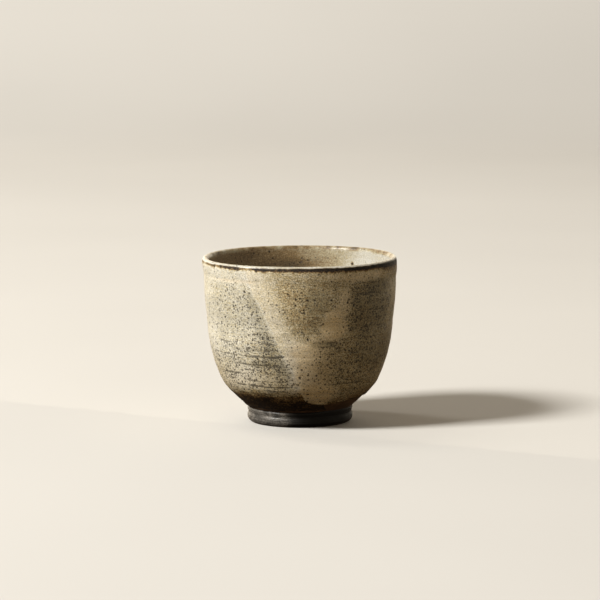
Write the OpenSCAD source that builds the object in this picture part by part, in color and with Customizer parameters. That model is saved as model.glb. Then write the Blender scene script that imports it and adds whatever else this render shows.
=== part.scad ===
// Deep matcha bowl: thrown in dark stoneware, brushed with white slip, lined with glaze, and
// glazed outside in two dips that lap over each other along a slanting band.
// Millimetres, +Z up. The origin is on the ground, under the middle of the foot ring, and -Y is
// the front, the side that shows the lap.

/* [Bowl] */
// Widest diameter, across the glazed lip
bowl_d = 105; // [92:0.5:128]
// Height from the ground to the top of the lip
bowl_h = 89.5; // [76:0.5:108]
// How far the upper wall leans out from upright, in degrees
wall_lean = 4.3; // [2:0.1:7]
// Radius of the long belly curve, on the clay
belly_r = 81.3; // [68:0.1:98]
// Slope, from upright, where the belly curve hands over to the haunch curve, in degrees
haunch_lean = 25; // [18:0.5:32]
// Radius of the tighter haunch curve, on the clay
haunch_r = 24; // [16:0.5:32]
// Slope of the straight underside from upright, in degrees
underside_lean = 47; // [42:0.5:54]

/* [Walls] */
// Clay thickness round the belly
wall_t = 3.4; // [2.8:0.1:4.5]
// Clay thickness at the lip
lip_t = 2.2; // [1.6:0.1:3]
// Clay thickness between the recess under the foot and the level floor
floor_t = 4.8; // [4.5:0.1:8]
// Radius of the curve between the inside wall and the floor, on the clay
floor_r = 18; // [12:0.5:20]
// Diameter of the tea pool, the shallow dish in the middle of the floor
pool_d = 28; // [20:0.5:32]
// Depth of the tea pool
pool_depth = 1.2; // [0.6:0.1:2]

/* [Foot] */
// Outside diameter of the foot ring
foot_d = 56.7; // [46:0.1:68]
// Height of the foot ring
foot_h = 8.2; // [6.5:0.1:10]
// How far the foot ring's top stands out past the underside that sits on it
foot_ledge = 0.8; // [0.5:0.1:2]
// Width of the ring's wall at the ground, with its rounded edges
foot_wall = 9; // [6:0.1:11]
// How much wider the recess is at the ground than at its ceiling
recess_draft = 1.2; // [0:0.1:2.5]
// Radius of the ring's outer edge at the ground
foot_bevel = 3; // [1:0.1:4]
// Radius of the ring's small edges
foot_round = 0.8; // [0.3:0.1:1.2]

/* [Coats] */
// Thickness of the brushed white slip
slip_t = 0.3; // [0.2:0.05:0.5]
// Thickness of one coat of glaze
glaze_t = 0.4; // [0.3:0.05:0.7]
// Height above the foot ring at which the outside slip ends
slip_rise = 12; // [6:0.5:20]
// Height above the foot ring at which the first dip of glaze ends
first_rise = 1.5; // [1:0.5:6]
// Height above the foot ring at which the second dip of glaze ends
second_rise = 7; // [3:0.5:12]
// How far past the top of the lip the inside coats roll over, in degrees
lip_roll = 70; // [0:1:80]

/* [Dips] */
// Slant of both dip edges from upright, in degrees
dip_slant = 25; // [10:1:40]
// Where the first dip's edge crosses mid height, from the middle of the front
first_edge = -2.5; // [-10:0.5:20]
// Width of the band where the second dip laps over the first
lap_w = 9; // [4:0.5:20]
// How far the lapping coat runs on over the second dip's own base coat
seam_w = 1.5; // [0.5:0.5:3]

/* [Hidden] */
$fn = 96;

coat_t = slip_t + glaze_t;
far = 2 * bowl_d;
arc_step = 1.6; // degrees between the points of a long curve
lip_step = 12;  // degrees between the points of the lip and the foot's edges

// A surface that slopes a degrees from upright faces along face(a).
function face(a) = [cos(a), -sin(a)];
function arc(c, r, from, to, step) =
    let (n = ceil(abs(to - from) / step))
    [for (k = [0:n]) c + r * face(from + (to - from) * k / n)];
function rest(list) = [for (k = [1:len(list) - 1]) list[k]];
function reversed(list) = [for (k = [len(list) - 1:-1:0]) list[k]];

// The lip is a circle, tangent to the wall's two faces.
lip = [bowl_d / 2 - coat_t - lip_t / 2, bowl_h - coat_t - lip_t / 2];
lip_end = lip_roll - 90; // where the inside coats meet the outside ones

// Outside of the clay, upwards: underside, haunch, belly, wall. The lengths of the straight
// underside and wall close the outline between the foot and the lip.
foot_joint = [foot_d / 2 - foot_ledge, foot_h];
wall_top = lip + lip_t / 2 * face(wall_lean);
straights = wall_top - foot_joint - haunch_r * (face(haunch_lean) - face(underside_lean))
    - belly_r * (face(wall_lean) - face(haunch_lean));
underside_l = (straights[0] * cos(wall_lean) - straights[1] * sin(wall_lean))
    / sin(underside_lean - wall_lean);
haunch_foot = foot_joint + underside_l * [sin(underside_lean), cos(underside_lean)];
haunch_c = haunch_foot - haunch_r * face(underside_lean);
belly_c = haunch_c + (haunch_r - belly_r) * face(haunch_lean);

// Inside of the clay: a wall tangent to the lip and to a belly curve that shares its centre with
// the outside one, and so on down, until the floor curve takes over. It leaves the wall where the
// two have the same slope: on the underside if that is long enough, else on the haunch or belly.
inner_belly_r = belly_r - wall_t;
lip_from_belly = lip - belly_c;
inner_lean = acos((inner_belly_r + lip_t / 2) / norm(lip_from_belly))
    - atan2(lip_from_belly[1], lip_from_belly[0]);
inner_haunch_r = haunch_r - wall_t;
floor_z = foot_h + floor_t;
haunch_over_floor = haunch_c[1] - floor_z - floor_r;
belly_over_floor = belly_c[1] - floor_z - floor_r;
on_underside = haunch_over_floor >= (inner_haunch_r - floor_r) * sin(underside_lean);
on_haunch = haunch_over_floor >= (inner_haunch_r - floor_r) * sin(haunch_lean);
floor_lean = on_underside ? underside_lean
    : on_haunch ? asin(haunch_over_floor / (inner_haunch_r - floor_r))
    : asin(belly_over_floor / (inner_belly_r - floor_r));
to_underside = foot_joint - (wall_t + floor_r) * face(underside_lean);
floor_c = [
    on_underside ? to_underside[0] + (floor_z + floor_r - to_underside[1]) * tan(underside_lean)
        : on_haunch ? haunch_c[0] + (inner_haunch_r - floor_r) * cos(floor_lean)
        : belly_c[0] + (inner_belly_r - floor_r) * cos(floor_lean),
    floor_z + floor_r
];

pool_r = (pow(pool_d / 2, 2) + pow(pool_depth, 2)) / (2 * pool_depth);
pool_c = [0, floor_z - pool_depth + pool_r];
pool_half_angle = asin(pool_d / 2 / pool_r);

// The same outlines at a distance o off the clay.
function outside(o) = concat(
    [foot_joint + o * face(underside_lean)],
    arc(haunch_c, haunch_r + o, underside_lean, haunch_lean, arc_step),
    rest(arc(belly_c, belly_r + o, haunch_lean, wall_lean, arc_step)),
    arc(lip, lip_t / 2 + o, wall_lean, lip_end, lip_step)
);
function inside(o) = concat(
    arc(lip, lip_t / 2 + o, lip_end, inner_lean - 180, lip_step),
    arc(belly_c, inner_belly_r - o, inner_lean, min(haunch_lean, floor_lean), arc_step),
    floor_lean > haunch_lean
        ? rest(arc(haunch_c, inner_haunch_r - o, haunch_lean, floor_lean, arc_step))
        : [],
    arc(floor_c, floor_r - o, floor_lean, 90, arc_step)
);
function pool(o) = arc(pool_c, pool_r - o, 90 - pool_half_angle, 90, arc_step);

module above(height) {
    translate([0, height]) square(far);
}

module outside_coat(from, to) {
    polygon(concat(outside(to), reversed(outside(from))));
}

module slip_outside_section() {
    intersection() {
        outside_coat(0, slip_t);
        above(foot_h + slip_rise);
    }
}

// The half of space to the left of a dip's edge that crosses mid height at x = edge.
module left_of(edge) {
    translate([edge, 0, bowl_h / 2])
        rotate([0, -dip_slant, 0])
            translate([-far, -far / 2, -far / 2])
                cube(far);
}

// One dip's coat all round, lying on the slip and, below it, on the clay.
module dip_coat(rise) {
    rotate_extrude()
        difference() {
            intersection() {
                outside_coat(0, coat_t);
                above(foot_h + rise);
            }
            slip_outside_section();
        }
}

module clay_body() {
    color("#4a4038")
        rotate_extrude()
            polygon(concat([[0, foot_h]], outside(0), inside(0), pool(0)));
}

module foot_ring() {
    recess_r = foot_d / 2 - foot_wall;
    color("#2c2926")
        rotate_extrude()
            polygon(concat(
                arc([foot_d / 2 - foot_bevel, foot_bevel], foot_bevel, 90, 0, lip_step),
                arc([foot_d / 2 - foot_round, foot_h - foot_round], foot_round, 0, -90, lip_step),
                [[recess_r - recess_draft, foot_h]],
                arc([recess_r + foot_round, foot_round], foot_round, 180, 90, lip_step)
            ));
}

module slip_outside() {
    color("#e4dcc6")
        rotate_extrude()
            slip_outside_section();
}

module slip_inside() {
    color("#e4dcc6")
        rotate_extrude()
            polygon(concat(
                inside(slip_t), pool(slip_t),
                reversed(pool(0)), reversed(inside(0))
            ));
}

// Glaze inside the bowl. It runs level over the tea pool and so fills it.
module liner_glaze() {
    color("#c9bd9f")
        rotate_extrude()
            polygon(concat(
                inside(coat_t), [[0, floor_z + coat_t]],
                reversed(pool(slip_t)), reversed(inside(slip_t))
            ));
}

module first_dip_glaze() {
    color("#d6cfb6")
        intersection() {
            dip_coat(first_rise);
            left_of(first_edge);
        }
}

module second_dip_glaze() {
    color("#9c8a66") {
        difference() {
            dip_coat(second_rise);
            left_of(first_edge);
        }
        difference() {
            intersection() {
                rotate_extrude()
                    intersection() {
                        outside_coat(coat_t, coat_t + glaze_t);
                        above(foot_h + second_rise);
                    }
                left_of(first_edge + seam_w);
            }
            left_of(first_edge - lap_w);
        }
    }
}

clay_body();
foot_ring();
slip_outside();
slip_inside();
liner_glaze();
first_dip_glaze();
second_dip_glaze();
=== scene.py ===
"""A deep matcha bowl of dark stoneware, with white slip, a glazed inside and two outer glaze dips.

Every layer lies on one guide, the clay's surface: from the middle of the recess under the foot,
out to the foot ring, up the outside, over the lip and down the inside to the middle of the floor.
A point of a layer is so far along the guide, so far off it, and turned so far round the bowl.
Lengths are in millimetres until a mesh is placed.
"""
import itertools
import math

import bpy
import numpy as np
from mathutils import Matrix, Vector


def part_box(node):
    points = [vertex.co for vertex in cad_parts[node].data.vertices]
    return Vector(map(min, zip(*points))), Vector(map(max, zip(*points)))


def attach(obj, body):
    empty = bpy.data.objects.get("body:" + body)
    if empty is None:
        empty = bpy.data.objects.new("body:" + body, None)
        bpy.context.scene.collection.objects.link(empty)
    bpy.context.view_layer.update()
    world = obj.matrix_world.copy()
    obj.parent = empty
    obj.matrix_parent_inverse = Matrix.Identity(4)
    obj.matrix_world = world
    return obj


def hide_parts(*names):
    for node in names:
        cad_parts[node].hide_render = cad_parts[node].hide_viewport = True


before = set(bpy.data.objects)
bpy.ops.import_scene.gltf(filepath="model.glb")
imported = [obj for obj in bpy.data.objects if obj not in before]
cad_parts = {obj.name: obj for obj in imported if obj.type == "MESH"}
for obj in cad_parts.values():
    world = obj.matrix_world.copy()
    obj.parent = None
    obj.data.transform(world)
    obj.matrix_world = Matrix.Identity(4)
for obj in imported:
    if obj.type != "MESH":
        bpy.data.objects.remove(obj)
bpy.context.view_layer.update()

MM = 0.001
TAU = math.tau

# ---- sizes, in mm and degrees -------------------------------------------------------------

FOOT_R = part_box("foot_ring")[1][0] / MM
FOOT_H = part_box("foot_ring")[1][2] / MM
BOWL_R = -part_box("first_dip_glaze")[0][0] / MM
BOWL_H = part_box("liner_glaze")[1][2] / MM

WALL_LEAN = 4.3       # slope of the upper wall, from upright
BELLY_R = 81.3        # the long belly curve, on the clay's outside
HAUNCH_LEAN = 25      # slope where the belly curve hands over to the haunch curve
HAUNCH_R = 24
UNDERSIDE_LEAN = 47
WALL = 3.4            # clay round the belly
LIP = 2.2             # clay at the lip
FLOOR = 4.8           # clay over the recess under the foot
FLOOR_R = 18          # the curve between the inside wall and the floor
FOOT_LEDGE = 0.8      # how far the foot ring's top stands out past the underside

SLIP = 0.3            # one coat of slip
GLAZE = 0.4           # one coat of glaze
SLIP_LINE = FOOT_H + 12    # the height at which the outside slip ends
FIRST_LINE = FOOT_H + 1.5  # the height at which the first dip ends
SECOND_LINE = FOOT_H + 7   # the height at which the second dip ends
LIP_ROLL = 70         # how far past the lip's top the inside coats roll over

DIP_SLANT = 25        # slant of the dips' edges, from upright
FIRST_EDGE = -2.5     # x at which the first dip's edge crosses mid height
LAP = 9               # width of the band where the second dip laps over the first

UNDERSIDE_R = 30      # about where the dips end
LIP_R = 50            # about where the coats meet
STEPS = 480           # faces round the bowl: one is 0.7 mm wide at the lip
ARC_POINTS = 60       # points on each arc of the guide


# ---- the guide ----------------------------------------------------------------------------

def face(lean):
    """The way a surface faces whose slope is lean from upright, as radius and height."""
    lean = math.radians(lean)
    return np.array([math.cos(lean), -math.sin(lean)])


def bend(centre, radius, start, end, side):
    """Points and outward ways on an arc. side is 1 outside the bowl and -1 inside it."""
    leans = np.linspace(start, end, ARC_POINTS)
    ways = np.array([face(lean) for lean in leans])
    return np.hstack([centre + radius * ways, side * ways])


def guide_rows():
    """The guide's points and outward ways: radius, height, way's radius, way's height. At the
    joint with the foot, where the way turns from down to outward, two points lie close by."""
    lip = np.array([BOWL_R - SLIP - GLAZE - LIP / 2, BOWL_H - SLIP - GLAZE - LIP / 2])
    joint = np.array([FOOT_R - FOOT_LEDGE, FOOT_H])
    wall_top = lip + LIP / 2 * face(WALL_LEAN)
    # What the straight underside and wall have to make up between the arcs
    gap = (
        wall_top - joint
        - HAUNCH_R * (face(HAUNCH_LEAN) - face(UNDERSIDE_LEAN))
        - BELLY_R * (face(WALL_LEAN) - face(HAUNCH_LEAN))
    )
    lean, steep = math.radians(WALL_LEAN), math.radians(UNDERSIDE_LEAN)
    underside = (gap[0] * math.cos(lean) - gap[1] * math.sin(lean)) / math.sin(steep - lean)
    haunch_foot = joint + underside * np.array([math.sin(steep), math.cos(steep)])
    haunch = haunch_foot - HAUNCH_R * face(UNDERSIDE_LEAN)
    belly = haunch + (HAUNCH_R - BELLY_R) * face(HAUNCH_LEAN)

    inner_belly_r = BELLY_R - WALL
    reach = lip - belly
    inner_lean = math.degrees(
        math.acos((inner_belly_r + LIP / 2) / np.hypot(*reach)) - math.atan2(reach[1], reach[0])
    )
    floor_z = FOOT_H + FLOOR
    start = joint - (WALL + FLOOR_R) * face(UNDERSIDE_LEAN)
    floor = np.array([
        start[0] + (floor_z + FLOOR_R - start[1]) * math.tan(steep),
        floor_z + FLOOR_R,
    ])
    return np.vstack([
        [[0, FOOT_H, 0, -1], [joint[0] - 0.01, FOOT_H, 0, -1]],
        [[*joint, *face(UNDERSIDE_LEAN)]],
        bend(haunch, HAUNCH_R, UNDERSIDE_LEAN, HAUNCH_LEAN, 1),
        bend(belly, BELLY_R, HAUNCH_LEAN, WALL_LEAN, 1)[1:],
        bend(lip, LIP / 2, WALL_LEAN, inner_lean - 180, 1),
        bend(belly, inner_belly_r, inner_lean, HAUNCH_LEAN, -1),
        bend(haunch, HAUNCH_R - WALL, HAUNCH_LEAN, UNDERSIDE_LEAN, -1)[1:],
        bend(floor, FLOOR_R, UNDERSIDE_LEAN, 90, -1),
        [[0, floor_z, 0, 1]],
    ])


GUIDE = guide_rows()
ALONG = np.concatenate([[0], np.cumsum(np.hypot(*np.diff(GUIDE[:, :2], axis=0).T))])
FOOT_JOINT = ALONG[2]
GUIDE_END = ALONG[-1]
LIP_TOP = ALONG[np.argmax(GUIDE[:, 1])]
COATS_MEET = LIP_TOP - math.radians(LIP_ROLL) * LIP / 2


def along_at(height):
    """How far along the guide the clay's outside is at a height."""
    outside = (ALONG >= FOOT_JOINT) & (ALONG <= LIP_TOP)
    return np.interp(height, GUIDE[outside, 1], ALONG[outside])


def section(along, off):
    """Radius and height of points that far along the guide and off it."""
    radius, height, out, up = (np.interp(along, ALONG, column) for column in GUIDE.T)
    return radius + off * out, height + off * up


def smooth(value, low, high):
    """0 below low, 1 above high, and an even curve between."""
    share = np.clip((value - low) / (high - low), 0, 1)
    return share * share * (3 - 2 * share)


def bump(value, middle, half_width):
    """1 at middle, fading evenly to 0 at half_width either side."""
    return 1 - smooth(np.abs(value - middle), 0, half_width)


LATTICE = np.random.default_rng(8).uniform(-1, 1, (32, 32, 32))


def rough(points, size, seed=0):
    """Cloudy noise from -1 to 1 at points in mm, whose lumps are about size mm across."""
    place = points / size + seed * 3.7
    cell = np.floor(place).astype(int)
    part = place - cell
    ease = part * part * (3 - 2 * part)
    total = np.zeros(len(points))
    for corner in itertools.product((0, 1), repeat=3):
        weight = np.prod(np.where(corner, ease, 1 - ease), axis=1)
        total += weight * LATTICE[tuple((cell + corner).T % 32)]
    return total


# ---- turning ------------------------------------------------------------------------------

def turned(name, radius, height, marks=None):
    """A closed outline spun once round the axis. marks are values that its points carry."""
    bpy.ops.object.select_all(action="DESELECT")
    bpy.ops.mesh.primitive_circle_add(vertices=len(radius), radius=BOWL_R * MM)
    piece = bpy.context.object
    piece.name = piece.data.name = name
    for mark, values in (marks or {}).items():
        piece.data.attributes.new(mark, "FLOAT", "POINT").data.foreach_set("value", values)
    put(piece, np.column_stack([radius, np.zeros(len(radius)), height]))
    lathe = piece.modifiers.new("lathe", "SCREW")
    lathe.angle = TAU
    lathe.screw_offset = 0
    lathe.steps = lathe.render_steps = STEPS
    lathe.use_merge_vertices = True
    bpy.ops.object.modifier_apply(modifier="lathe")
    bpy.ops.object.mode_set(mode="EDIT")
    bpy.ops.mesh.select_all(action="SELECT")
    bpy.ops.mesh.remove_doubles(threshold=1e-6)
    bpy.ops.mesh.normals_make_consistent(inside=False)
    bpy.ops.object.mode_set(mode="OBJECT")
    bpy.ops.object.shade_smooth()
    return piece


def put(piece, points):
    """Moves a piece's points to places in mm."""
    piece.data.vertices.foreach_set("co", (points * MM).ravel())
    piece.data.update()


def points_of(piece):
    """The places of a piece's points in mm."""
    flat = np.empty(len(piece.data.vertices) * 3)
    piece.data.vertices.foreach_get("co", flat)
    return flat.reshape(-1, 3) / MM


def mark_of(piece, mark):
    """The values of a mark that a piece's points carry."""
    values = np.empty(len(piece.data.vertices))
    piece.data.attributes[mark].data.foreach_get("value", values)
    return values


def layer(name, rows):
    """A layer of the bowl. rows are its outline, a loop of lengths along the guide and off it."""
    along, off = np.array(rows).T
    return turned(name, *section(along, off), {"along": along, "off": off})


def spread(start, end, gap):
    """Even steps of about gap from start to end."""
    return np.linspace(start, end, max(2, round(abs(end - start) / gap)) + 1)


def coat_loop(start, end, inner, outer, gap):
    """The outline of a coat: its outer side in steps of gap, with closer steps at its ends, and
    its inner side, which nothing shows, in steps four times as long."""
    rim, rim_gap = 1.5, 0.15
    front = np.concatenate([
        spread(start, start + rim, rim_gap),
        spread(start + rim, end - rim, gap)[1:],
        spread(end - rim, end, rim_gap)[1:],
    ])
    back = spread(end, start, gap * 4)
    return [(a, outer) for a in front] + [(a, inner) for a in back]


# ---- the potter's hand --------------------------------------------------------------------

RING_PITCH = 7.6   # from one ring of the fingers' slow spiral to the next
RING_DEPTH = 0.035
FINE_PITCH = 1.9   # from one fine line to the next
FINE_DEPTH = 0.014
# Heights of the deeper throwing marks, in which iron shows dark through the glaze
DEEP_MARKS = (81, 78.5, 56, 48.5, 41, 30.7, 24.5, 19.4)
DEEP_MARK_DEPTH = 0.06
HANG_REACH = 7     # how far up a coat its hanging lower edge stretches it


def throwing(along, turn, place):
    """How far the thrown clay stands off the guide: a slow spiral, finer lines and a few marks."""
    spiral = np.sin(TAU * (along / RING_PITCH + turn / TAU))
    fine = np.sin(TAU * (along / FINE_PITCH + turn / TAU))
    patchy = 0.5 + rough(place, 24, 1)
    depth = RING_DEPTH * spiral * (0.5 + patchy) + FINE_DEPTH * fine * patchy
    outside = along < LIP_TOP
    height = place[:, 2]
    for number, mark in enumerate(DEEP_MARKS):
        broken = 0.45 + 0.55 * np.sin(turn * (2 + number % 3) + number * 1.7)
        depth -= outside * DEEP_MARK_DEPTH * bump(height, mark, 1.1) * np.clip(broken, 0, 1)
    on_wall = smooth(along, FOOT_JOINT, FOOT_JOINT + 4) * smooth(np.abs(along - LIP_TOP), 2, 8)
    return depth * on_wall


def by_hand(points):
    """A thrown bowl isn't quite round or level: it eases out of true from the foot to the lip."""
    turn = np.arctan2(points[:, 1], points[:, 0])
    height = points[:, 2]
    up = np.clip((height - FOOT_H) / (BOWL_H - FOOT_H), 0, 1)
    out_of_round = 0.30 * up * np.sin(2 * turn + 0.6) + 0.12 * up * np.sin(5 * turn + 1.1)
    # A little full above the middle, slim under the lip, and the lip shifted to the left
    waist = 0.30 * bump(height, 67, 12) - 0.15 * bump(height, 78, 6)
    shift = -0.45 * np.cos(turn) * smooth(height, 81, 88)
    out_of_level = up ** 3 * (0.22 * np.cos(turn) + 0.14 * np.sin(3 * turn + 0.4))
    grow = 1 + (out_of_round + waist + shift) / BOWL_R
    wide = points * np.column_stack([grow, grow, np.ones(len(up))])
    return wide + np.outer(out_of_level, (0, 0, 1))


def around(along, off, turn):
    """Places in mm of points so far along the guide, off it, and turned round the axis."""
    radius, height = section(along, off)
    return np.column_stack([radius * np.cos(turn), radius * np.sin(turn), height])


def shape(piece, lift=None, hang=None):
    """Moves a layer's points to their final places. hang gives how far along the guide the
    layer's lower edge hangs, from its turn round the axis. lift gives how far each point stands
    off the thrown clay, from its length, its offset, its turn and its place."""
    points = points_of(piece)
    along, off = mark_of(piece, "along"), mark_of(piece, "off")
    turn = np.arctan2(points[:, 1], points[:, 0])
    if hang:
        start = along.min()
        along = along + (hang(turn) - start) * np.exp(-(along - start) / HANG_REACH)
    place = around(along, off, turn)
    if lift:
        off = lift(along, off, turn, place)
    off = off + throwing(along, turn, place)
    put(piece, by_hand(around(along, off, turn)))
    return along, turn, place


def past_edge(points, shift):
    """How far points are to the right of a dip's slanting edge, across it."""
    slant = math.radians(DIP_SLANT)
    across = points[:, 0] - shift + (points[:, 2] - BOWL_H / 2) * math.tan(slant)
    return across * math.cos(slant)


def cut_at(piece, shift, keep_left):
    """Cuts a layer through along a dip's slanting edge and closes the cut."""
    slant = math.radians(DIP_SLANT)
    bpy.ops.object.select_all(action="DESELECT")
    piece.select_set(True)
    bpy.context.view_layer.objects.active = piece
    bpy.ops.object.mode_set(mode="EDIT")
    bpy.ops.mesh.select_all(action="SELECT")
    bpy.ops.mesh.bisect(
        plane_co=(shift * MM, 0, BOWL_H / 2 * MM),
        plane_no=(math.cos(slant), 0, math.sin(slant)),
        use_fill=True, clear_outer=keep_left, clear_inner=not keep_left,
    )
    bpy.ops.object.mode_set(mode="OBJECT")


# ---- the layers ---------------------------------------------------------------------------

def clay_body():
    """The thrown wall and floor, from the recess under the foot to the floor inside."""
    alongs = np.concatenate([
        spread(0, FOOT_JOINT, 1.0),
        spread(FOOT_JOINT, FOOT_JOINT + 14, 0.4)[1:],
        spread(FOOT_JOINT + 14, GUIDE_END, 1.6)[1:],
    ])
    body = layer("clay_body_thrown", [(a, 0) for a in alongs])
    shape(body)
    return body


def foot_outline():
    """The foot ring's outline, from its rolled edge at the ground up its side, over its seat
    under the bowl and down the recess."""
    wall, draft, edge, bevel = 9, 1.2, 0.8, 3
    inside = FOOT_R - wall
    rolled = bend(np.array([FOOT_R - bevel, bevel]), bevel, 90, 20, 1)[:, :2]
    top = bend(np.array([FOOT_R - edge, FOOT_H - edge]), edge, 0, -90, 1)[:, :2]
    corner = bend(np.array([inside + edge, edge]), edge, 180, 90, 1)[:, :2]
    side = np.column_stack([np.full(28, FOOT_R), np.linspace(2.2, FOOT_H - edge - 0.2, 28)])
    bottom = np.column_stack([
        np.linspace(inside + edge, FOOT_R - bevel, 12)[1:-1], np.zeros(10)
    ])
    recess = np.column_stack([
        np.linspace(inside - draft, inside, 14)[:-1], np.linspace(FOOT_H, edge, 14)[:-1]
    ])
    seat = np.column_stack([
        np.linspace(FOOT_R - edge, inside - draft, 12)[1:-1], np.full(10, FOOT_H)
    ])
    return np.vstack([rolled[::3], side, top[::6], seat, recess, corner[::6], bottom])


def foot_ring():
    """The turned ring: a soft top edge, a groove, a bead and a rolled edge at the ground. On the
    right it runs up into the bowl with no step."""
    ring = turned("foot_ring_turned", *foot_outline().T)
    points = points_of(ring)
    radius, turn = np.hypot(points[:, 0], points[:, 1]), np.arctan2(points[:, 1], points[:, 0])
    height = points[:, 2]
    outer = smooth(radius, FOOT_R - 2.2, FOOT_R - 0.4)
    groove = 0.40 * bump(height, FOOT_H - 2.7, 1.5)
    bead = 0.10 * bump(height, 3.7, 1.3)
    tool_lines = 0.05 * np.sin(TAU * (height / 0.9 + turn / TAU))
    uneven = 0.10 * rough(points, 6, 3)
    cut = (groove - bead + tool_lines + uneven) * outer
    points[:, 2] += 1.3 * smooth(height, FOOT_H - 3, FOOT_H) * smooth(points[:, 0], 4, 20)
    grow = 1 - cut / np.maximum(radius, 1)
    put(ring, points * np.column_stack([grow, grow, np.ones(len(grow))]))
    # Painted light and shade: grey on the foot's lit left, nearly black on its shaded right
    paint(ring, bare=smooth(points[:, 0] + 4 * rough(points, 6, 28), -12, 2))
    return ring


def slip_outside():
    """The brushed slip outside, which stops above the foot."""
    slip = layer("slip_outside_brushed", coat_loop(along_at(SLIP_LINE), COATS_MEET, 0, SLIP, 1.2))
    shape(slip)
    return slip


def slip_inside():
    """The slip inside, from the lip to the middle of the floor."""
    slip = layer("slip_inside_brushed", coat_loop(COATS_MEET, GUIDE_END, 0, SLIP, 1.2))
    shape(slip)
    return slip


def rolled_edge(distance):
    """How thick a coat is near its edge, against the rest: it rounds over and stands up a bit."""
    near = np.clip(distance / 0.9, 0, 1)
    return np.sqrt(near * (2 - near)) * (1 + 0.35 * np.exp(-((distance - 1.3) / 1.0) ** 2))


def thin_at_lip(along):
    """Glaze runs off the lip's edge, and is thinnest where the coats meet."""
    return 0.35 + 0.65 * smooth(np.abs(along - COATS_MEET), 0.1, 1.8)


def lap_across(place):
    """How far points are past the lap's left edge, which wanders a little."""
    wander = 1.1 * rough(place, 10, 12) + 0.4 * rough(place, 3, 9)
    return past_edge(place, FIRST_EDGE - LAP) + wander


def circle(turn, radius):
    """Points on a level circle, for what changes only with the turn."""
    return radius * np.column_stack([np.cos(turn), np.sin(turn), np.zeros(len(turn))])


def first_cover(place):
    """The first dip's share of its full thickness, which fades out under the second dip."""
    return 1 - smooth(past_edge(place, FIRST_EDGE) + 0.6 * rough(place, 9, 5), -5, 0)


def first_hang(turn):
    """The first dip's lower edge, nearly level."""
    return along_at(FIRST_LINE + 0.7 * rough(circle(turn, UNDERSIDE_R), 13, 7))


def second_hang(turn):
    """The second dip hangs lowest just past the lap, in a wide tongue, and then runs level."""
    ring = circle(turn, UNDERSIDE_R)
    lap_rise = 1.5 * (1 - smooth(ring[:, 0], 0, 6))
    tongue = 2.2 * bump(ring[:, 0], 13, 13)
    return along_at(SECOND_LINE + lap_rise - tongue + 0.5 * rough(ring, 7, 8))


def slip_under(along):
    """How far a dip stands off the clay because of the slip under it, which ends lower down."""
    return SLIP * smooth(along, along_at(SLIP_LINE) - 2, along_at(SLIP_LINE) + 3)


def first_dip():
    """The glaze on the left, which goes down nearly to the foot and fades out under the lap."""
    start = along_at(FIRST_LINE)
    dip = layer("first_dip_poured", coat_loop(start, COATS_MEET, 0, SLIP + GLAZE, 0.55))
    cut_at(dip, FIRST_EDGE, keep_left=True)

    def lift(along, off, turn, place):
        edge = rolled_edge(along - first_hang(turn))
        thick = GLAZE * edge * thin_at_lip(along) * first_cover(place)
        film = 0.02
        return slip_under(along) + np.where(off > SLIP, np.maximum(thick, film), 0)

    paint_outside(dip, *shape(dip, lift, first_hang))
    return dip


def second_dip():
    """The glaze on the right, which feathers out over the first dip."""
    start = along_at(SECOND_LINE)
    dip = layer("second_dip_poured", coat_loop(start, COATS_MEET, 0, SLIP + GLAZE, 0.55))
    cut_at(dip, FIRST_EDGE - LAP - 2, keep_left=False)

    def lift(along, off, turn, place):
        over_first = GLAZE * thin_at_lip(along) * first_cover(place)
        feather = smooth(lap_across(place), 0, 7)
        edge = rolled_edge(along - second_hang(turn))
        # The feathered edge dips under the first coat, and the back is sunk into what it lies on
        thick = GLAZE * edge * thin_at_lip(along) * (1.1 * feather - 0.15)
        sunk = -0.1
        return slip_under(along) + over_first + np.where(off > SLIP, thick, sunk)

    paint_outside(dip, *shape(dip, lift, second_hang))
    return dip


def liner():
    """The inside glaze, from the lip down, which lies level over the middle of the floor."""
    loop = coat_loop(COATS_MEET, GUIDE_END, SLIP, SLIP + GLAZE, 0.75)
    coat = layer("liner_glaze_poured", loop)

    def lift(along, off, turn, place):
        return SLIP + np.where(off > SLIP + GLAZE / 2, GLAZE * thin_at_lip(along), 0)

    paint_inside(coat, *shape(coat, lift))
    return coat


# ---- what shows where on the glazes ---------------------------------------------------------
# Spots on the front, each as x, z, half width, half height and strength

ASH_SPOTS = (
    (38, 67, 12, 15, 0.65),     # dark grey-green patch under the lip on the right
    (33.5, 71, 8.5, 10, 0.6),
    (33.5, 60, 8.5, 10, 0.6),
    (42, 77, 8, 5, 0.9),
    (39, 46, 14, 16, 0.5),
    (8, 71, 10, 7, 0.55),       # grey blotch in the middle
    (9, 61, 7, 8, 0.3),
    (14, 48, 9, 2.2, 0.8),      # smears along throwing marks
    (2, 55, 10, 2.0, 0.55),
    (-24, 70, 6, 8, 0.55),      # shade beside the lap
    (-36, 64, 16, 16, 0.3),
    (-20, 36.5, 7, 2.5, 0.6),
    (16, 33, 14, 9, 0.15),
)
WARM_SPOTS = (
    (18, 58, 8, 12, 1.0),       # orange tan between the grey patches
    (24, 70, 4, 10, 0.6),
    (7, 34, 15, 19, 0.8),
    (8, 20, 13, 9, 1.1),
    (-34, 80.8, 13, 1.0, 0.5),  # ochre line on the left
    (30, 84, 22, 4, 0.6),
    (-28, 24, 16, 12, 0.3),
)
IRON_SPOTS = (
    (-24, 35, 28, 18, 1.1),
    (36, 66, 14, 18, 1.1),
    (26, 36, 24, 18, 0.8),
    (-26, 62, 22, 18, 0.4),
)


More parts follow.
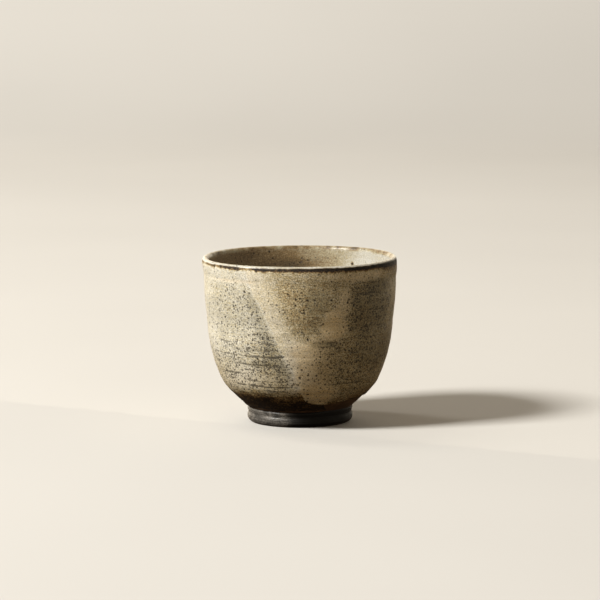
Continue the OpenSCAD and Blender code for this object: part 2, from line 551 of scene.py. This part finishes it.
# Iron along throwing marks, as height, from x, to x and strength
STREAKS = (
    (81.0, -44, -28, 0.3), (56.5, -44, -14, 0.4), (51.5, -30, -14, 0.5),
    (48.0, -47, -12, 0.8), (44.6, -40, -14, 0.5), (41.0, -48, -3, 1.0), (36.6, -34, -13, 0.9),
    (33.5, -42, -20, 0.6), (30.7, -44, -28, 0.8), (27.3, -38, -6, 0.6), (24.2, -34, 1, 1.15),
    (21.8, -26, -5, 0.6), (19.3, -33, -12, 0.7),
    (79.5, 26, 44, 0.7), (76.5, 28, 46, 0.5), (74.0, 27, 46, 0.7), (69.5, 28, 46, 0.6),
    (65.0, 26, 45, 0.7), (60.5, 27, 46, 0.6), (56.0, 22, 47, 0.9), (49.0, 3, 20, 0.95),
    (50.3, 20, 46, 0.85), (43.5, 22, 44, 0.5), (37.0, 20, 42, 0.5), (31.0, 12, 36, 0.5),
    (25.5, 15, 34, 0.9),
)
BLISTER = (29, 39, 80.3)  # the one iron blister inside, on the far wall


def spots(place, table):
    """How strongly the spots of a table show. They have soft, ragged edges and are all in front;
    the back has patches at chance places."""
    total = np.zeros(len(place))
    ragged = 0.22 * rough(place, 5, 18) + 0.12 * rough(place, 2, 19)
    for x, z, half_width, half_height, strength in table:
        apart = np.hypot((place[:, 0] - x) / half_width, (place[:, 2] - z) / half_height)
        total = np.maximum(total, strength * (1 - smooth(apart + ragged, 0.55, 1.15)))
    front = smooth(-place[:, 1], -4, 10)
    behind = smooth(rough(place * (1, 1, 1.6), 24, 11), 0.0, 0.5)
    return total * front + behind * 0.6 * (1 - front)


def streaks(place):
    """How strongly iron shows along the throwing marks, which wander and break."""
    height = place[:, 2] + 0.45 * rough(place, 15, 31) + 0.15 * rough(place, 4, 32)
    broken = 0.7 + 0.5 * rough(place, 9, 33) + 0.7 * rough(place, 2.2, 34)
    total = np.zeros(len(place))
    for level, left, right, strength in STREAKS:
        begun = smooth(place[:, 0], left - 3, left + 5)
        ended = smooth(place[:, 0], right - 5, right + 3)
        reach = begun * (1 - ended)
        total = np.maximum(total, strength * reach * bump(height, level, 0.65))
    return total * np.maximum(broken, 0) * smooth(-place[:, 1], -4, 6)


def lip_iron_and_shade(along, turn):
    """Bare iron along the lip where the coats meet, broken and thin on the left. On the shaded
    right it is painted wide and dark, with a soft dark fade below it: real iron, with painted
    shade."""
    ring = circle(turn, LIP_R)
    # Painted shade: the line is made widest and darkest towards the front right, where the bowl is
    # in shade
    amount = 0.58 + 0.42 * np.cos(turn + 0.5) + 0.6 * bump(turn, -0.1, 0.6)
    amount += 0.3 * rough(ring, 6, 21) + 0.4 * rough(ring, 1.4, 22)
    amount = np.clip(amount, 0, 1.7)
    apart = along - COATS_MEET + 0.1 - 0.15 * rough(ring, 3, 23)
    ragged = 0.7 * rough(ring, 1.1, 36)
    below = 1 - smooth(-apart, 0.3 * amount, 0.9 + np.maximum(1.7 * amount + ragged, 0))
    above = 1 - smooth(apart, 0.3 * amount, 0.35 + 0.4 * amount)
    return np.clip(0.25 + amount, 0, 0.9) * below * above


def lip_wear_and_shade(along, place):
    """Glaze is thin and brown on the inner edge of the lip, which is also painted darker as shade
    where the lip turns into the bowl: real thin glaze and painted shade.
    """
    return (0.40 + 0.3 * rough(place, 3, 24)) * bump(along, LIP_TOP + 0.8, 1.8)


def paint(piece, **marks):
    """Gives a piece's points marks that its material reads."""
    for mark, values in marks.items():
        piece.data.attributes.new(mark, "FLOAT", "POINT").data.foreach_set("value", values)


def shares(along, turn, place):
    """Which outer glaze shows: the first dip on the left, the lap, or the second dip on the
    right. The three add up to 1."""
    across = lap_across(place)
    begun = smooth(across, 0, 1.4) * smooth(along - second_hang(turn), -0.6, 0.3)
    right = begun * smooth(across, LAP - 3, LAP + 8)
    return 1 - begun, begun - right, right


def cover_outside(along, turn, place, left, lap, right):
    """How much the outer glazes hide the dark clay: most on the left and the lap, less on the
    right and low down, and hardly at all on the brown clay above the foot."""
    x, height, begun = place[:, 0], place[:, 2], lap + right
    cover = 0.79 * left + 0.84 * lap + 0.64 * right
    cover += 0.03 * smooth(height, 76, 84) + 0.09 * rough(place, 15, 13)
    runs = rough(place * (1, 1, 0.1), 1.7, 25)
    cover += 0.07 * runs * smooth(height, 76, 84)
    cover -= 0.10 * smooth(-height, -30, -16)
    cover += 0.32 * spots(place, WARM_SPOTS)
    # Brown below the slip's ragged edge, except that the second dip's tongue stays pale lower
    ragged = 2.6 * rough(place, 6, 17) + 1.8 * rough(place, 1.8, 35)
    tongue = begun * (1 - smooth(x, 20, 30))
    low = smooth(height + ragged + 1.5 * begun + 4 * tongue, 13.5, 22)
    cover *= 0.20 + 0.2 * begun + (0.80 - 0.2 * begun) * low
    # Thin under the lip at the far right, and on the underside to the right of the lap
    cover -= 0.35 * smooth(x, 36, 50) * smooth(height, 78, 87)
    under = smooth(past_edge(place, FIRST_EDGE) + 2.5 * rough(place, 4, 26), -7, 0)
    cover *= 1 - 0.2 * under * (1 - smooth(height + 1.2 * rough(place, 3, 27), 13, 17.5))
    return (cover - lip_wear_and_shade(along, place)) * (1 - lip_iron_and_shade(along, turn))


def iron_outside(place, left, quiet):
    """How thick the iron specks are: many beside the lap and low on the left, few under the
    lip and on the lap itself, which is quiet."""
    height = place[:, 2]
    beside_lap = 0.5 * bump(lap_across(place), -4, 8) * (1 - smooth(height, 66, 80))
    iron = 0.3 + spots(place, IRON_SPOTS) + beside_lap + 0.6 * left * bump(height, 17, 6)
    return iron * quiet * (1 - 0.6 * smooth(height, 78, 84))


def paint_outside(piece, along, turn, place):
    """What the outer glazes look like: how much they cover the dark clay (cover), and how
    grey-green (ash), orange (warm) and specked with iron (iron) they are, and where iron lies
    along the throwing marks (streaks)."""
    left, lap, right = shares(along, turn, place)
    height = place[:, 2]
    quiet = 1 - 0.75 * lap * smooth(height, 22, 42)
    edge_shade = 0.5 * bump(lap_across(place), -3, 6)
    edge_shade *= smooth(height, 24, 34) * (1 - smooth(height, 72, 80))
    low_left = 0.5 * left * smooth(-height, -46, -22)
    paint(
        piece,
        cover=cover_outside(along, turn, place, left, lap, right),
        iron=iron_outside(place, left, quiet),
        streaks=streaks(place) * quiet,
        ash=np.maximum(spots(place, ASH_SPOTS), edge_shade) * (1 - 0.85 * lap),
        warm=np.maximum(spots(place, WARM_SPOTS), low_left),
    )


def paint_inside(piece, along, turn, place):
    """The inside is cream, painted browner and darker on its left side below the rim, where the
    inside lies in shade: painted shade.
    """
    height = place[:, 2]
    deep = smooth(BOWL_H - height, 0.9, 2.9)
    # Painted shade: the inside's left side, which the key light doesn't reach, is painted browner
    # and darker, with a little warmth
    brown = smooth(-place[:, 0] + 8 * rough(place, 20, 14), -38, 10) * deep
    smudge = bump(height, 79, 6) * bump(place[:, 0], 0, 22) * smooth(place[:, 1], 0, 20)
    cover = 0.84 - 0.41 * brown - 0.04 * deep - 0.15 * smudge + 0.06 * rough(place, 12, 15)
    cover = (cover - lip_wear_and_shade(along, place)) * (1 - lip_iron_and_shade(along, turn))
    cover -= 1 - smooth(np.linalg.norm(place - BLISTER, axis=1), 0.5, 1.3)
    paint(
        piece, cover=cover, iron=np.full(len(place), 0.12), streaks=np.zeros(len(place)),
        ash=np.clip(0.4 * smudge + 0.15 * rough(place, 16, 16), 0, 1), warm=0.12 * brown,
    )


# ---- materials ----------------------------------------------------------------------------

# Glaze over dark clay, from none at all to its full thickness
GLAZE_OVER_CLAY = (
    (0.0, "1a1511"), (0.2, "4a3928"), (0.42, "a4875b"), (0.62, "d4c49d"), (0.8, "ebe3cc"),
    (0.97, "f5f0e3"),
)
GREY_GREEN = "7a735a"  # where ash has gathered
ORANGE = "fedd94"      # multiplies the glaze's own colour where it is warm
IRON_BROWN = "241c12"


def linear(code):
    """A linear colour from an sRGB hex code such as "c8b99a"."""
    def channel(value):
        value /= 255
        return value / 12.92 if value <= 0.04045 else ((value + 0.055) / 1.055) ** 2.4
    return tuple(channel(int(code[i:i + 2], 16)) for i in (0, 2, 4)) + (1.0,)


def add(tree, kind, inputs=None, stops=(), **settings):
    """Adds a node and returns it. inputs gives its sockets values, or sockets to link them to, and
    a node there stands for its first output. stops are a ramp's places and hex colours."""
    made = tree.nodes.new("ShaderNode" + kind)
    for name, value in settings.items():
        setattr(made, name, value)
    for socket, source in (inputs or {}).items():
        if isinstance(source, bpy.types.Node):
            source = source.outputs[0]
        if isinstance(source, bpy.types.NodeSocket):
            tree.links.new(source, made.inputs[socket])
        else:
            made.inputs[socket].default_value = source
    for number, (position, code) in enumerate(stops):
        elements = made.color_ramp.elements
        stop = elements[number] if number < 2 else elements.new(position)
        stop.position = position
        stop.color = linear(code)
    return made


def started(name, roughness):
    """A new material, its nodes and its shader, and the place on the piece in mm."""
    material = bpy.data.materials.new(name)
    material.use_nodes = True
    tree = material.node_tree
    shader = tree.nodes["Principled BSDF"]
    shader.inputs["Roughness"].default_value = roughness
    spot = add(tree, "TexCoord").outputs["Object"]
    place = add(tree, "VectorMath", {0: spot, "Scale": 1 / MM}, operation="SCALE")
    return material, tree, shader, place


def finished(material, tree, shader, colour, relief, depth):
    """Links a material's colour, and its relief as a bump depth mm high."""
    tree.links.new(colour.outputs[0], shader.inputs["Base Color"])
    raised = add(tree, "Bump", {"Height": relief, "Distance": depth * MM, "Strength": 0.8})
    tree.links.new(raised.outputs[0], shader.inputs["Normal"])
    return material


def specks(tree, place, size, iron, share, widest):
    """Iron specks. One in each cell size mm across, where iron and chance allow it; share is how
    many show at full iron, and widest is the largest one's radius as a part of a cell."""
    warp = add(tree, "TexNoise", {"Vector": place, "Scale": 2.2 / size, "Detail": 1.0})
    warped = add(
        tree, "VectorMath", {0: warp.outputs["Color"], 1: (size * 0.35,) * 3, 2: place},
        operation="MULTIPLY_ADD",
    )
    cell = add(tree, "TexVoronoi", {"Vector": warped, "Scale": 1 / size})
    chance = add(tree, "SeparateColor", {0: cell.outputs["Color"]})
    limit = add(tree, "Math", {0: iron, 1: share}, operation="MULTIPLY")
    shown = add(tree, "Math", {0: chance, 1: limit}, operation="LESS_THAN")
    radius = add(
        tree, "Math", {0: chance.outputs[1], 1: widest * 0.7, 2: widest * 0.3},
        operation="MULTIPLY_ADD",
    )
    depth = add(tree, "Math", {0: radius, 1: cell}, operation="SUBTRACT")
    solid = add(tree, "Math", {0: depth, 1: 12.0}, operation="MULTIPLY", use_clamp=True)
    return add(tree, "Math", {0: solid, 1: shown}, operation="MULTIPLY")


def iron_in_glaze(tree, place, marks, lines, mottle):
    """Iron that has bled through the glaze: broken lines along the throwing marks, fine specks in
    rows, and larger specks anywhere."""
    iron, streaks = marks["iron"], marks["streaks"]
    ready = add(tree, "Math", {0: iron, 1: 0.24, 2: lines}, operation="MULTIPLY_ADD")
    ready = add(tree, "Math", {0: streaks, 1: 0.62, 2: ready}, operation="MULTIPLY_ADD")
    ready = add(tree, "Math", {0: mottle, 1: 1.5, 2: ready}, operation="MULTIPLY_ADD")
    bled = add(
        tree, "MapRange", {"Value": ready, "From Min": 1.68, "From Max": 1.90, "To Max": 0.85},
        interpolation_type="SMOOTHSTEP",
    )
    row = add(
        tree, "MapRange", {"Value": lines, "From Min": 0.30, "From Max": 0.62},
        interpolation_type="SMOOTHSTEP",
    )
    rows = add(tree, "Math", {0: iron, 1: row}, operation="MULTIPLY")
    rows = add(tree, "Math", {0: streaks, 1: 0.8, 2: rows}, operation="MULTIPLY_ADD")
    fine = specks(tree, place, 1.1, rows, 1.0, 0.62)
    fine = add(tree, "Math", {0: fine, 1: 0.85}, operation="MULTIPLY")
    medium = specks(tree, place, 2.1, iron, 0.6, 0.36)
    coarse = specks(tree, place, 5.5, iron, 0.45, 0.16)
    dark = add(tree, "Math", {0: fine, 1: medium}, operation="MAXIMUM")
    dark = add(tree, "Math", {0: dark, 1: coarse}, operation="MAXIMUM")
    return add(tree, "Math", {0: dark, 1: bled}, operation="MAXIMUM")


def glaze_patterns(tree, place):
    """Lines 8 mm long and under 1 mm high, blots 1 mm across, and grain of half a millimetre. The
    real grain is finer, and is drawn this coarse so that it shows."""
    squeezed = add(tree, "VectorMath", {0: place, 1: (1, 1, 9)}, operation="MULTIPLY")
    lines = add(
        tree, "TexNoise", {"Vector": squeezed, "Scale": 1 / 8, "Detail": 3.0, "Roughness": 0.65}
    )
    low = add(tree, "VectorMath", {0: place, 1: (1, 1, 1.4)}, operation="MULTIPLY")
    mottle = add(
        tree, "TexNoise", {"Vector": low, "Scale": 1 / 1.05, "Detail": 3.0, "Roughness": 0.75}
    )
    grain = add(tree, "TexNoise", {"Vector": place, "Scale": 1 / 0.5, "Detail": 1.0})
    return lines, mottle, grain


def glaze_thickness(tree, cover, lines, mottle, unrest):
    """How thick the glaze lies: its cover, changed from one line and blot to the next."""
    cover = add(tree, "Math", {0: mottle, 1: 0.95 * unrest, 2: cover}, operation="MULTIPLY_ADD")
    cover = add(tree, "Math", {0: lines, 1: 0.45 * unrest, 2: cover}, operation="MULTIPLY_ADD")
    return add(tree, "Math", {0: cover, 1: 0.70 * unrest}, operation="SUBTRACT")


def patched(tree, colour, marks, lines, mottle):
    """A glaze's colour with its patches: grey-green in blots, and orange in lines."""
    blots = add(
        tree, "MapRange", {"Value": mottle, "From Min": 0.2, "From Max": 0.65},
        interpolation_type="SMOOTHSTEP",
    )
    ashy = add(tree, "Math", {0: marks["ash"], 1: blots}, operation="MULTIPLY")
    colour = add(tree, "MixRGB", {"Fac": ashy, "Color1": colour, "Color2": linear(GREY_GREEN)})
    warmth = add(tree, "Math", {0: marks["warm"], 1: lines}, operation="MULTIPLY")
    return add(
        tree, "MixRGB", {"Fac": warmth, "Color1": colour, "Color2": linear(ORANGE)},
        blend_type="MULTIPLY",
    )


def freckled(tree, colour, cover, grain, unrest):
    """A glaze's colour with fine dark grain, which shows most where the glaze is thin."""
    freckles = add(tree, "ValToRGB", {"Fac": grain}, stops=((0.36, "403e39"), (0.6, "ffffff")))
    bared = add(
        tree, "Math", {0: cover, 1: -1.3 * unrest, 2: 1.6 * unrest},
        operation="MULTIPLY_ADD", use_clamp=True,
    )
    bared = add(tree, "Math", {0: bared, 1: 0.42 * unrest}, operation="MAXIMUM")
    return add(
        tree, "MixRGB", {"Fac": bared, "Color1": colour, "Color2": freckles},
        blend_type="MULTIPLY",
    )


def ash_glaze(name, tint, unrest, roughness):
    """Wood-ash glaze, poured over dark clay and fired to a soft gloss: cream where it is thick,
    brown where it is thin, grey-green or orange in patches, and broken by iron. unrest is how much
    its colour varies from one place to the next."""
    material, tree, shader, place = started(name, roughness)
    marks = {
        mark: add(tree, "Attribute", attribute_name=mark).outputs["Fac"]
        for mark in ("cover", "ash", "warm", "iron", "streaks")
    }
    lines, mottle, grain = glaze_patterns(tree, place)
    thickness = glaze_thickness(tree, marks["cover"], lines, mottle, unrest)
    colour = add(tree, "ValToRGB", {"Fac": thickness}, stops=GLAZE_OVER_CLAY)
    colour = patched(tree, colour, marks, lines, mottle)
    colour = add(
        tree, "MixRGB", {"Fac": 1.0, "Color1": colour, "Color2": linear(tint)},
        blend_type="MULTIPLY",
    )
    colour = freckled(tree, colour, marks["cover"], grain, unrest)
    dark = iron_in_glaze(tree, place, marks, lines, mottle)
    stain = add(tree, "Math", {0: dark, 1: 0.9}, operation="MULTIPLY")
    colour = add(tree, "MixRGB", {"Fac": stain, "Color1": colour, "Color2": linear(IRON_BROWN)})

    relief = add(tree, "Math", {0: mottle, 1: 0.6}, operation="MULTIPLY")
    relief = add(tree, "Math", {0: dark, 1: -0.5, 2: relief}, operation="MULTIPLY_ADD")
    relief = add(tree, "Math", {0: grain, 1: 0.25, 2: relief}, operation="MULTIPLY_ADD")
    # Thin glaze is dry, and thick glaze is glossy
    rubbed = add(tree, "Math", {0: mottle, 1: 0.25, 2: roughness + 0.3}, operation="MULTIPLY_ADD")
    rubbed = add(tree, "Math", {0: thickness, 1: -0.3, 2: rubbed}, operation="MULTIPLY_ADD")
    tree.links.new(rubbed.outputs[0], shader.inputs["Roughness"])
    shader.inputs["IOR"].default_value = 1.5
    shader.inputs["Specular IOR Level"].default_value = 0.4
    return finished(material, tree, shader, colour, relief, 0.12)


def stoneware():
    """Iron-bearing stoneware as it comes from the kiln: matt brown, with lumps of colour 6 mm
    across and an open grain of 0.6 mm, coarser than the real one so that it shows."""
    material, tree, shader, place = started("iron_stoneware_clay", 0.6)
    lumps = add(
        tree, "TexNoise", {"Vector": place, "Scale": 1 / 6, "Detail": 4.0, "Roughness": 0.6}
    )
    grain = add(tree, "TexNoise", {"Vector": place, "Scale": 1 / 0.6, "Detail": 2.0})
    shade = add(tree, "Math", {0: lumps, 1: 0.8}, operation="MULTIPLY")
    shade = add(tree, "Math", {0: grain, 1: 0.4, 2: shade}, operation="MULTIPLY_ADD")
    colour = add(tree, "ValToRGB", {"Fac": shade}, stops=(
        (0.3, "33251a"), (0.6, "553e2b"), (0.85, "7d5f41"),
    ))
    return finished(material, tree, shader, colour, grain, 0.1)


def burnished_clay():
    """Black stoneware pressed smooth by the turning tool, painted grey with a sheen on its left,
    where the key light falls, and nearly black on its right, where shade falls: lit and shaded
    copies of one clay, painted light and shade. Its tool lines are 14 mm long and half a
    millimetre high, its lumps 4 mm across and its grain half a millimetre, which is as fine as
    shows."""
    material, tree, shader, place = started("burnished_black_clay", 0.4)
    squeezed = add(tree, "VectorMath", {0: place, 1: (1, 1, 30)}, operation="MULTIPLY")
    lines = add(
        tree, "TexNoise", {"Vector": squeezed, "Scale": 1 / 14, "Detail": 3.0, "Roughness": 0.7}
    )
    lumps = add(
        tree, "TexNoise", {"Vector": place, "Scale": 1 / 4, "Detail": 4.0, "Roughness": 0.65}
    )
    grain = add(tree, "TexNoise", {"Vector": place, "Scale": 1 / 0.5, "Detail": 2.0})
    bare = add(tree, "Attribute", attribute_name="bare").outputs["Fac"]
    shade = add(tree, "Math", {0: lumps, 1: 0.4}, operation="MULTIPLY")
    shade = add(tree, "Math", {0: lines, 1: 0.2, 2: shade}, operation="MULTIPLY_ADD")
    shade = add(tree, "Math", {0: grain, 1: 0.4, 2: shade}, operation="MULTIPLY_ADD")
    # The lit left side's grey with its painted sheen, and the shaded right side's black: painted
    # light and shade
    lit_grey_and_sheen = add(tree, "ValToRGB", {"Fac": shade}, stops=(
        (0.36, "1c1b1a"), (0.5, "504d48"), (0.66, "a19a92"),
    ))
    black = add(tree, "ValToRGB", {"Fac": shade}, stops=((0.3, "050403"), (0.8, "120f0c")))
    colour = add(tree, "MixRGB", {"Fac": bare, "Color1": lit_grey_and_sheen, "Color2": black})
    relief = add(tree, "Math", {0: grain, 1: 0.3}, operation="MULTIPLY")
    relief = add(tree, "Math", {0: lines, 1: 1.0, 2: relief}, operation="MULTIPLY_ADD")
    worn = add(tree, "Math", {0: lumps, 1: 0.3, 2: 0.26}, operation="MULTIPLY_ADD")
    worn = add(tree, "Math", {0: bare, 1: 0.25, 2: worn}, operation="MULTIPLY_ADD")
    tree.links.new(worn.outputs[0], shader.inputs["Roughness"])
    shader.inputs["Specular IOR Level"].default_value = 0.3
    return finished(material, tree, shader, colour, relief, 0.15)


def brushed_slip():
    """White slip, dry and streaked round the bowl by a coarse brush, whose marks are 12 mm long
    and just under 1 mm high."""
    material, tree, shader, place = started("brushed_white_slip", 0.8)
    squeezed = add(tree, "VectorMath", {0: place, 1: (1, 1, 14)}, operation="MULTIPLY")
    lines = add(
        tree, "TexNoise", {"Vector": squeezed, "Scale": 1 / 12, "Detail": 3.0, "Roughness": 0.6}
    )
    colour = add(tree, "ValToRGB", {"Fac": lines}, stops=((0.3, "c9bea3"), (0.7, "ece4d0")))
    return finished(material, tree, shader, colour, lines, 0.1)


def studio_paper():
    """Matt pale paper, with a fibre too fine to see from here and a slow change of tone."""
    material, tree, shader, place = started("studio_paper", 0.9)
    clouds = add(tree, "TexNoise", {"Vector": place, "Scale": 1 / 400, "Detail": 2.0})
    fibre = add(tree, "TexNoise", {"Vector": place, "Scale": 1 / 1.5, "Detail": 2.0})
    colour = add(tree, "ValToRGB", {"Fac": clouds}, stops=((0.3, "cccac6"), (0.7, "d0ceca")))
    return finished(material, tree, shader, colour, fibre, 0.02)


# ---- camera, light and floor --------------------------------------------------------------

KEY = 256       # watts of the key softbox
WALL_WASH = 22  # watts of the softbox that lights the wall
ROOM = 0.52     # strength of the room's light
BEHIND = 5      # how many times as strong that is behind the bowl

# The camera stands 2 m away, 7.5 degrees above the level, with the bowl a third of the view wide
LENS, SENSOR = 222, 36
CAMERA_PLACE, CAMERA_TARGET = (0, -1.980, 0.3266), (0, 0, 0.0655)


def aim(thing, place, target):
    """Puts a lamp or camera at a place and turns it to a target."""
    thing.location = place
    thing.rotation_euler = (Vector(target) - Vector(place)).to_track_quat("-Z", "Y").to_euler()


def add_camera():
    """A long lens, a little above the bowl's lip and straight in front."""
    camera = bpy.data.objects.new("camera", bpy.data.cameras.new("camera"))
    bpy.context.collection.objects.link(camera)
    camera.data.lens = LENS
    camera.data.sensor_width = SENSOR
    aim(camera, CAMERA_PLACE, CAMERA_TARGET)
    bpy.context.scene.camera = camera


def add_softbox(name, place, target, size, power, colour):
    """A rectangular lamp of a size in metres and a power in watts."""
    lamp = bpy.data.lights.new(name, "AREA")
    lamp.shape = "RECTANGLE"
    lamp.size, lamp.size_y = size
    lamp.energy = power
    lamp.color = linear(colour)[:3]
    softbox = bpy.data.objects.new(name, lamp)
    bpy.context.collection.objects.link(softbox)
    aim(softbox, place, target)


def add_sweep():
    """Pale paper that lies flat under the bowl and curves up into a wall behind it."""
    flat, curve, rise, half = 1.6, 0.8, 2.0, 3.0
    bpy.ops.object.select_all(action="DESELECT")
    bpy.ops.mesh.primitive_grid_add(x_subdivisions=2, y_subdivisions=60, size=1)
    sweep = bpy.context.object
    sweep.name = "floor"
    for vertex in sweep.data.vertices:
        run = (vertex.co.y + 0.5) * (half + flat + curve * math.pi / 2 + rise) - half
        angle = min(max((run - flat) / curve, 0), math.pi / 2)
        vertex.co.x *= 2 * half
        vertex.co.y = min(run, flat) + curve * math.sin(angle)
        vertex.co.z = curve * (1 - math.cos(angle)) + max(run - flat - curve * math.pi / 2, 0)
    bpy.ops.object.shade_smooth()
    sweep.data.materials.append(studio_paper())
    sweep.visible_diffuse = False
    sweep.visible_glossy = False


def add_room():
    """Warm white walls all round, brightest behind the bowl, a dimmer ceiling, and a dim brown
    light from below."""
    world = bpy.data.worlds.new("room")
    bpy.context.scene.world = world
    world.use_nodes = True
    tree = world.node_tree
    way = add(tree, "SeparateXYZ", {0: add(tree, "TexCoord").outputs["Generated"]})
    up = add(tree, "MapRange", {"Value": way.outputs["Z"], "From Min": -1.0})
    shades = add(tree, "ValToRGB", {"Fac": up}, stops=(
        (0.36, "3e2c1c"), (0.44, "cfbfa4"), (0.50, "f3e6d0"), (0.65, "efe0c8"), (0.85, "75695a"),
    ))
    behind = add(
        tree, "MapRange", {
            "Value": way.outputs["Y"], "From Min": 0.55, "From Max": 0.95,
            "To Min": ROOM, "To Max": ROOM * BEHIND,
        }, interpolation_type="SMOOTHSTEP",
    )
    tree.links.new(shades.outputs[0], tree.nodes["Background"].inputs["Color"])
    tree.links.new(behind.outputs[0], tree.nodes["Background"].inputs["Strength"])


def add_studio():
    """The floor, the room, a key light from the front left and a wash on the wall behind."""
    add_sweep()
    add_room()
    add_softbox("key_softbox", (-2.78, -1.36, 2.60), (0, 0, 0.05), (0.9, 0.9), KEY, "fffcf6")
    add_softbox(
        "wall_softbox", (-1.2, 0.9, 2.2), (-0.5, 2.4, 0.9), (1.5, 0.6), WALL_WASH, "fffaf0"
    )
    bpy.context.scene.view_settings.view_transform = "Standard"


# ---- the bowl -----------------------------------------------------------------------------

add_camera()
add_studio()

SLIP_FINISH = brushed_slip()
# Each glaze's tint, how much its colour varies, and how rough it is
INSIDE_FINISH = ash_glaze("cream_ash_glaze_inside", "dadee8", 0.5, 0.08)
FIRST_FINISH = ash_glaze("cream_ash_glaze_first_dip", "fffffe", 1.0, 0.30)
SECOND_FINISH = ash_glaze("tan_ash_glaze_second_dip", "fffaf0", 1.0, 0.30)

# What makes each piece, the node it stands for, its slot and its material
PIECES = (
    (clay_body, "clay_body", "stoneware_clay", stoneware()),
    (foot_ring, "foot_ring", "foot_clay", burnished_clay()),
    (slip_outside, "slip_outside", "white_slip", SLIP_FINISH),
    (slip_inside, "slip_inside", "white_slip", SLIP_FINISH),
    (liner, "liner_glaze", "liner_glaze", INSIDE_FINISH),
    (first_dip, "first_dip_glaze", "first_dip_glaze", FIRST_FINISH),
    (second_dip, "second_dip_glaze", "second_dip_glaze", SECOND_FINISH),
)
for make, node, slot, material in PIECES:
    piece = make()
    piece.data.materials.append(material)
    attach(piece, "root")
    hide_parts(node)
